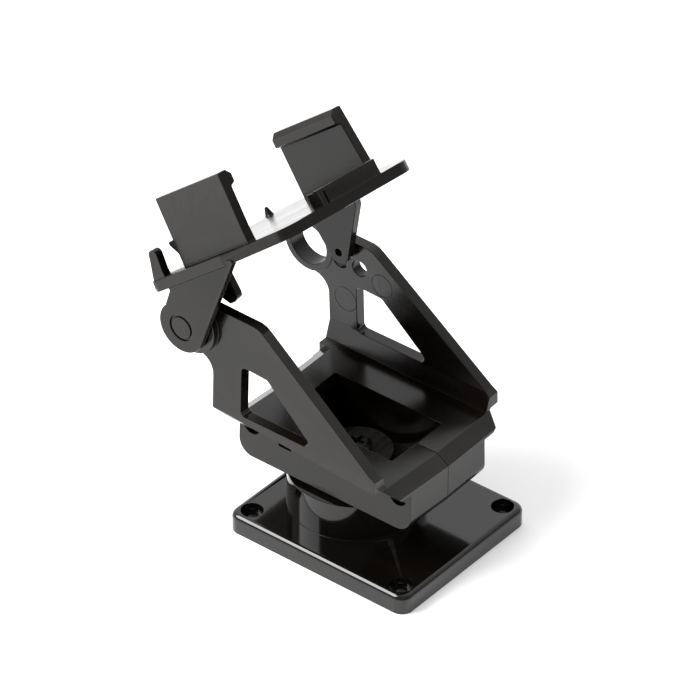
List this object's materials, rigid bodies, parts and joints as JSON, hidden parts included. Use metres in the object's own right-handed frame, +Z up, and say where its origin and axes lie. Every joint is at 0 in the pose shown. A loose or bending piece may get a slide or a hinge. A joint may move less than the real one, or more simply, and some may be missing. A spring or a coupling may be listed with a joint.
{
  "type": "pan tilt camera mount",
  "caption": "Black plastic pan and tilt bracket: screw-down base, turning two-part servo yoke and a tilting clip-on camera holder.",
  "frame": {"origin": "middle of the four base holes, on the base's underside", "axes": "+Z up along the pan axis, +X along the tilt axis towards the tilt servo's arm, +Y forward, the way the arms lean out and the camera looks when level"},
  "size_m": [0.0361, 0.0547, 0.071],
  "materials": {
    "gloss_black": "gloss",
    "satin_black": "satin",
    "black_steel": "satin"
  },
  "bodies": {
    "base": {"base": "gloss_black", "pan_pivot_screw": "black_steel", "pan_pivot_washer": "black_steel"},
    "yoke": {"yoke_left_half": "satin_black", "yoke_right_half": "satin_black", "yoke_clamp_screws": "black_steel"},
    "holder": {"camera_holder": "satin_black", "tilt_pivot_screw": "black_steel", "tilt_pivot_washer": "black_steel"}
  },
  "joints": [
    {"name": "pan", "type": "hinge", "parent": "base", "child": "yoke", "pos_m": [0, 0.0045, 0.0116], "axis": [0, 0, 1], "range_deg": [-90, 90]},
    {"name": "tilt", "type": "hinge", "parent": "yoke", "child": "holder", "pos_m": [-0.0155, 0.0265, 0.0394], "axis": [1, 0, 0], "range_deg": [-80, 40]}
  ]
}
